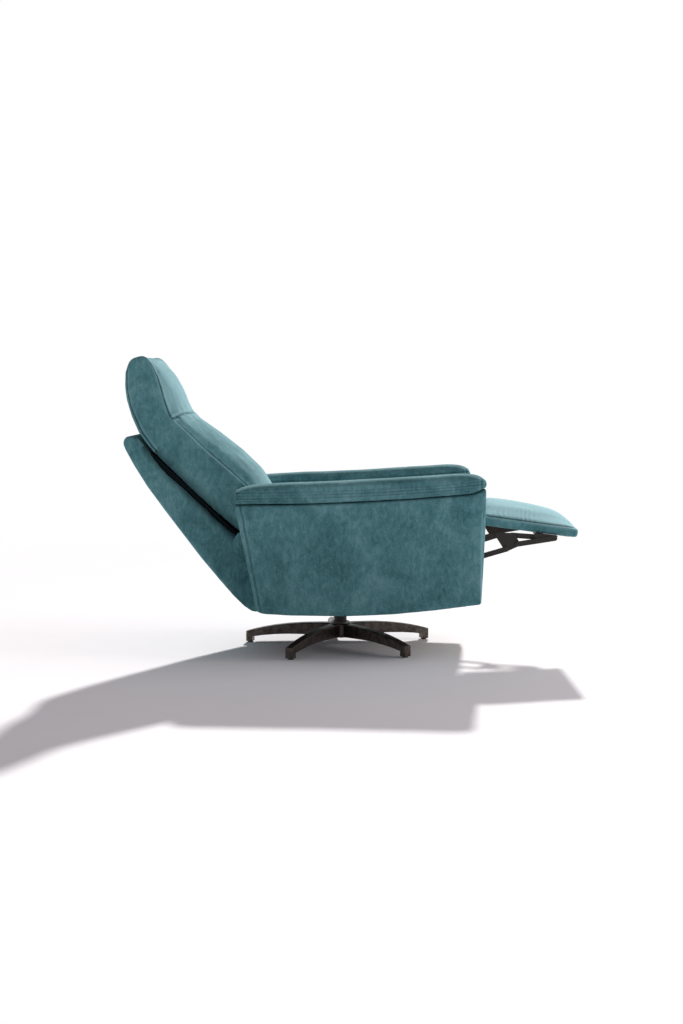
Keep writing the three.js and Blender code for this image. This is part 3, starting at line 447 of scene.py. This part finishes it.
LEAN = math.radians(46.2)
BACK_FOOT_X, BACK_FOOT_Z = -0.341, 0.414
FORWARD = np.array((math.cos(LEAN), 0.0, math.sin(LEAN)))


def back_up(p):
    return -(along(p) - BACK_FOOT_X) * math.sin(LEAN) + (p[:, 2] - BACK_FOOT_Z) * math.cos(LEAN)


def back_out(p):
    return (along(p) - BACK_FOOT_X) * math.cos(LEAN) + (p[:, 2] - BACK_FOOT_Z) * math.sin(LEAN)


# Lines on the back's side, as how far up and how far forward, and the head's half width on the way up
HEAD_HALF = [(0.45, 0.243), (0.523, 0.2405), (0.572, 0.2365), (0.622, 0.2310), (0.672, 0.2265)]
HEAD_REAR = [(0.394, 0.004), (0.444, 0.010), (0.496, 0.020), (0.529, 0.033), (0.560, 0.046), (0.585, 0.058),
             (0.611, 0.076), (0.629, 0.088), (0.649, 0.106), (0.667, 0.124), (0.682, 0.142)]
FRONT_EDGE = [(0.114, 0.143), (0.286, 0.137), (0.407, 0.139), (0.454, 0.136), (0.470, 0.140), (0.509, 0.159),
              (0.550, 0.184), (0.587, 0.206), (0.624, 0.223)]
SHELL_RIM = [(0.05, -0.011), (0.15, -0.012), (0.25, -0.012), (0.37, -0.008), (0.45, 0.002)]
RIM_RISE = [(0.04, 0.0), (0.15, 0.013), (0.25, 0.009), (0.37, 0.0)]

EDGE_SEAM_IN = 0.004  # the front edge's seam runs this far in
REAR_SEAM_IN = 0.008  # and the head's rear seam
NECK_UP = 0.429
NECK_BOW = 0.026  # the neck seam climbs this much to the sides
CUSHION_HALF = 0.24
HEAD_FROM, HEAD_FULL = 0.44, 0.46  # below, the front edge is piped, and above, sewn flat
SHELL_SEAM_Y = 0.231


def at(places, up):
    return np.interp(up, *zip(*places))


def forward_of(p, places):
    return back_out(p) - at(places, back_up(p))


def head_half(p):
    return at(HEAD_HALF, back_up(p))


def front_edge(p):
    return head_half(p) - across(p) + forward_of(p, FRONT_EDGE) - EDGE_SEAM_IN


def on_front(p):
    return forward_of(p, FRONT_EDGE) > -0.05


def front_panel(p, n):
    return (front_edge(p) > 0) & on_front(p)


def neck(p):
    return back_up(p) - NECK_UP - NECK_BOW * (across(p) / CUSHION_HALF) ** 2


def lumbar_free(p):
    return eased(front_edge(p), 0.0, 0.03) * eased(back_up(p), 0.02, 0.12)


def front_mellow(p, n):
    return eased(front_edge(p), 0.02, 0.06) * eased(np.abs(back_up(p) - 0.43), 0.0, 0.02)


def piped_edge(p, n):
    return eased(back_up(p), HEAD_FULL, HEAD_FROM) * on_front(p)


def sewn_edge(p, n):
    return eased(back_up(p), HEAD_FROM, HEAD_FULL) * eased(back_up(p), 0.66, 0.63) * on_front(p)


def cushion_side(p, n):
    return (np.abs(n[:, 1]) > 0.3) & (back_up(p) < 0.42)


def head_side(p, n):
    return (across(p) > head_half(p) - 0.016) & (back_up(p) > 0.41) & (back_up(p) < 0.68)


upholster(
    "back_cushion_cover", "back_cushion", "backrest", "back_fabric", grid=0.0055, rounding=7, taken_in=0.002,
    stuffing=(STUFFING_PRESSURE, 0.006, 0.01), free=lumbar_free, mellow=front_mellow,
    seams=[
        piping(front_edge, piped_edge),
        seam(front_edge, sewn_edge, width=0.005, painted_highlight=0.1),
        # Painted shade on the cushion's sides, darkest by the gap to the shell
        painted_band(back_out, cushion_side, 0.028, 0.75),
        seam(lambda p: forward_of(p, HEAD_REAR) - REAR_SEAM_IN, head_side),
        seam(neck, front_panel, width=0.005, depth=0.0045, painted_highlight=0.2, shade=0.35),
        gathers(neck, lambda p: p[:, 1], front_panel, 0.035, 0.0022, 0.03, 3),
        gathers(lambda p: -neck(p), lambda p: p[:, 1] + 0.01, front_panel, 0.042, 0.0018, 0.03, 5),
        rumpled(0.0018, 7, 11),
    ],
)


# The shell's front rim is rolled forward, which narrows the gap to the cushion
def rim_raised(p):
    share = eased(back_out(p), -0.07, -0.026) * eased(across(p), 0.222, 0.230)
    return (at(RIM_RISE, back_up(p)) * share)[:, None] * FORWARD


def shell_rim_side(p, n):
    return (across(p) > 0.22) & (back_up(p) < 0.46)


def shell_rear(p, n):
    return (back_out(p) < -0.02) & (n[:, 0] < 0.2) & (np.abs(n[:, 1]) < 0.6)


upholster(
    "back_shell_cover", "back_shell", "backrest", "back_fabric", rounding=5, raised=rim_raised,
    seams=[
        # Painted shade on the shell's sides just under its rim, by the gap to the cushion
        painted_band(lambda p: forward_of(p, SHELL_RIM), shell_rim_side, 0.02, 0.75),
        seam(lambda p: across(p) - SHELL_SEAM_Y, shell_rear, depth=0.0018),
        rumpled(0.001, 6, 17),
    ],
)


# Seat: it swells on top, away from its sides and from the crease with the back

SEAT_SEAM_Y = 0.243


def seat_free(p):
    return eased(0.245 - across(p), 0.0, 0.03) * eased(p[:, 2], 0.43, 0.46) * eased(along(p), -0.14, -0.02)


upholster(
    "seat_cushion_cover", "seat_cushion", "seat_body", "seat_fabric", rounding=12, taken_in=0.005,
    stuffing=(STUFFING_PRESSURE, 0.005, 0.01), free=seat_free, mellow=lambda p, n: eased(n[:, 2], 0.7, 0.95),
    seams=[
        seam(lambda p: across(p) - SEAT_SEAM_Y, lambda p, n: n[:, 2] > 0.2),
        rumpled(0.0016, 8, 23),
    ],
)


# Arms and their caps

ARM_REAR_X, ARM_REAR_Z = -0.282, 0.170
ARM_REAR_LEAN = (0.983, 0.185)  # square to the arm's rear edge
ARM_LONG = 0.759
ARM_SEAM_IN = 0.014
ARM_FRONT_X = 0.4755
CAP_UNDER_Z = 0.537  # the caps' underside at the arms' rear
CAP_MIDDLE_X = 0.0675
CAP_FRONT_SEAM_X = 0.474
CAP_CREASES = (0.011, 0.020, 0.030, 0.040)  # up from the underside


def ahead_of_rear(p):
    return (along(p) - ARM_REAR_X) * ARM_REAR_LEAN[0] + (p[:, 2] - ARM_REAR_Z) * ARM_REAR_LEAN[1]


def cap_height(p):
    share = (along(p) - ARM_REAR_X) / ARM_LONG
    return p[:, 2] - CAP_UNDER_Z - 0.396 * (0.0119 * share + 0.0861 * share ** 2)


def cap_side(p, n):
    return np.abs(n[:, 1]) > 0.3


def cap_ends(p, n):
    return eased(np.abs(along(p) - CAP_MIDDLE_X), 0.375, 0.41) * (np.abs(n[:, 2]) < 0.8)


for side, sign in (("left", 1), ("right", -1)):
    upholster(
        f"arm_cover_{side}", f"arm_{side}", "seat_body", "arm_fabric", rounding=5,
        seams=[
            seam(lambda p: ahead_of_rear(p) - ARM_SEAM_IN, lambda p, n: np.abs(n[:, 1]) > 0.5,
                 depth=0.0014, painted_highlight=0.12, shade=0.5),
            # A painted highlight down the arm's rounded front edge
            painted_band(lambda p: along(p) - ARM_FRONT_X, lambda p, n: n[:, 0] > 0.1, 0.0032, -0.5),
            rumpled(0.0012, 5, 31 + sign),
        ],
    )
    upholster(
        f"arm_pad_cover_{side}", f"arm_pad_{side}", "seat_body", "arm_fabric", grid=0.005, rounding=6,
        taken_in=0.0015, stuffing=(CAP_PRESSURE, 0.003, 0.008), free=lambda p: eased(cap_height(p), 0.02, 0.05),
        mellow=lambda p, n: eased(n[:, 2], 0.6, 0.9),
        seams=[
            creases(cap_height, CAP_CREASES, cap_side, 0.0022, 0.0018, 41 + sign),
            seam(lambda p: along(p) - CAP_FRONT_SEAM_X, cap_side, depth=0.0012, shade=0.2),
            rumpled(0.0014, 9, 47 + sign),
            rumpled(0.0028, 32, 57 + sign, cap_ends),
        ],
    )


# The cloth flaps that run from the shell's sides over the back's hinge arms.
# Each row is an angle in degrees about the hinge, and how far from it the flap's outer edge lies.

HINGE_X, HINGE_Z = -0.138, 0.250
FLAP_INNER = 0.13
FLAP_Y = (0.2504, 0.2515)
FLAP = [(-31, 0.178), (-24, 0.196), (-16, 0.210), (-8, 0.221), (0, 0.230), (8, 0.238), (16, 0.247), (23, 0.258),
        (29, 0.270), (35, 0.279), (40, 0.280), (44, 0.272), (47, 0.256)]


def hinge_flap(side, sign):
    rows = []
    for degrees, reach in FLAP:
        turn = math.radians(degrees)
        for radius in (reach, FLAP_INNER):
            rows.append((AXIS_X + HINGE_X - radius * math.cos(turn), HINGE_Z + radius * math.sin(turn)))
    count = len(rows)
    faces = [(0, count, count + 1, 1), (count - 2, count - 1, 2 * count - 1, 2 * count - 2)]
    for i in range(0, count - 2, 2):
        faces += [(i, i + 1, i + 3, i + 2), (i + count, i + 2 + count, i + 3 + count, i + 1 + count)]
        faces += [(i, i + 2, i + 2 + count, i + count), (i + 1, i + 1 + count, i + 3 + count, i + 3)]
    corners = [(x, sign * y, z) for y in FLAP_Y for x, z in rows]
    mesh = bpy.data.meshes.new(f"hinge_flap_{side}")
    mesh.from_pydata(corners, [], [face if sign < 0 else face[::-1] for face in faces])
    mesh.update()
    mesh.materials.append(materials["back_fabric"])
    piece = bpy.data.objects.new(f"hinge_flap_{side}", mesh)
    scene.collection.objects.link(piece)
    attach(piece, "backrest")


hinge_flap("left", 1)
hinge_flap("right", -1)


# Footrest pad: up from its underside, which slopes down to the tip

DROP = math.radians(7.7)
PAD_REAR_X, PAD_REAR_Z = 0.484, 0.456
PAD_SEAM_UP = 0.036


def pad_up(p):
    return (along(p) - PAD_REAR_X) * math.sin(DROP) + (p[:, 2] - PAD_REAR_Z) * math.cos(DROP)


def above_pad_seam(p):
    return pad_up(p) - PAD_SEAM_UP


upholster(
    "footrest_cover", "footrest_pad", "footrest", "footrest_fabric", grid=0.005, rounding=6, taken_in=0.001,
    stuffing=(STUFFING_PRESSURE, 0.004, 0.01), free=lambda p: eased(pad_up(p), 0.05, 0.07),
    mellow=lambda p, n: eased(n[:, 2], 0.75, 0.95),
    seams=[
        seam(above_pad_seam, lambda p, n: across(p) > 0.218, depth=0.0018),
        gathers(above_pad_seam, lambda p: p[:, 0], lambda p, n: across(p) > 0.15, 0.016, 0.0022, 0.02, 7),
        rumpled(0.0014, 9, 53),
    ],
)


# The thin cloth under the seat

dust_cloth = bpy.data.objects.new("dust_cloth", nodes["dust_cover"].data.copy())
scene.collection.objects.link(dust_cloth)
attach(dust_cloth, "seat_body")
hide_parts("dust_cover")


# Floor. Matt emulsion paint, rolled: an even near-white that keeps the chair's shadow. The roller's texture is
# too fine to show, and the tone drifts over half a metre. Far from the chair it looks plain white.

HALF_FLOOR = 30
PLAIN_FROM, PLAIN_TO = 2.6, 4.2

floor_mesh = bpy.data.meshes.new("floor")
floor_corners = [(x * HALF_FLOOR, y * HALF_FLOOR, 0) for x, y in ((-1, -1), (1, -1), (1, 1), (-1, 1))]
floor_mesh.from_pydata(floor_corners, [], [(0, 1, 2, 3)])
floor = bpy.data.objects.new("floor", floor_mesh)
floor.location.z = -0.0005
scene.collection.objects.link(floor)
floor_mesh.materials.append(
    grained("matt_emulsion_paint", "f4f2f4", "f6f4f6", 500, relief=0.0, Roughness=0.9, Specular_IOR_Level=0.0)
)


# One where a ray from the eye, a gloss or a clear piece looks, and nought for the rays that light the chair
def looked_at(tree):
    rays = add(tree, "ShaderNodeLightPath").outputs
    seen = rays["Is Camera Ray"]
    for other in ("Is Glossy Ray", "Is Transmission Ray"):
        seen = add(tree, "ShaderNodeMath", {0: seen, 1: rays[other]}, operation="MAXIMUM").outputs[0]
    return seen


paint = floor_mesh.materials[0].node_tree
spot = add(paint, "ShaderNodeNewGeometry").outputs["Position"]
distance = add(paint, "ShaderNodeVectorMath", {0: spot}, operation="LENGTH").outputs["Value"]
far = add(paint, "ShaderNodeMapRange", {"Value": distance, "From Min": PLAIN_FROM, "From Max": PLAIN_TO}).outputs[0]
plain = add(paint, "ShaderNodeMath", {0: far, 1: looked_at(paint)}, operation="MULTIPLY").outputs[0]
white = add(paint, "ShaderNodeEmission", {"Color": linear("ffffff")}).outputs[0]
painted = paint.nodes["Principled BSDF"].outputs[0]
blend = add(paint, "ShaderNodeMixShader", {0: plain, 1: painted, 2: white}).outputs[0]
paint.links.new(blend, paint.nodes["Material Output"].inputs["Surface"])


# Air: plain white to look at, and a weak, slightly pink light on the chair and in its shadow

AIR_LIGHT = 0.33

world = bpy.data.worlds.new("air")
world.use_nodes = True
air = world.node_tree
clear = looked_at(air)
tint = add(air, "ShaderNodeMix", {
    "Factor": clear, "A": linear("fff9fe"), "B": linear("ffffff"),
}, data_type="RGBA").outputs["Result"]
strength = add(air, "ShaderNodeMapRange", {"Value": clear, "To Min": AIR_LIGHT, "To Max": 1.0}).outputs[0]
air.links.new(tint, air.nodes["Background"].inputs["Color"])
air.links.new(strength, air.nodes["Background"].inputs["Strength"])
scene.world = world


# A low sun from behind the chair, and a large soft lamp at its feet

SUN_FROM = (0.20, 1.65, 1.0)
SOFT_FROM = (4.5, -0.4, 2.6)
SOFT_AIM = (4.5, -0.4, 2.1)  # it looks back along this, at the seat

sun = bpy.data.lights.new("sun", "SUN")
sun.energy = 4.5
sun.angle = math.radians(2.5)
sun.color = linear("fffdfb")[:3]
lamp = bpy.data.objects.new("sun", sun)
lamp.rotation_euler = Vector(SUN_FROM).to_track_quat("Z", "Y").to_euler()
scene.collection.objects.link(lamp)

soft = bpy.data.lights.new("soft_side", "AREA")
soft.shape = "RECTANGLE"
soft.size = 3.5
soft.size_y = 3.0
soft.energy = 100
lamp = bpy.data.objects.new("soft_side", soft)
lamp.location = SOFT_FROM
lamp.rotation_euler = Vector(SOFT_AIM).to_track_quat("Z", "Y").to_euler()
scene.collection.objects.link(lamp)

scene.view_settings.view_transform = "Standard"
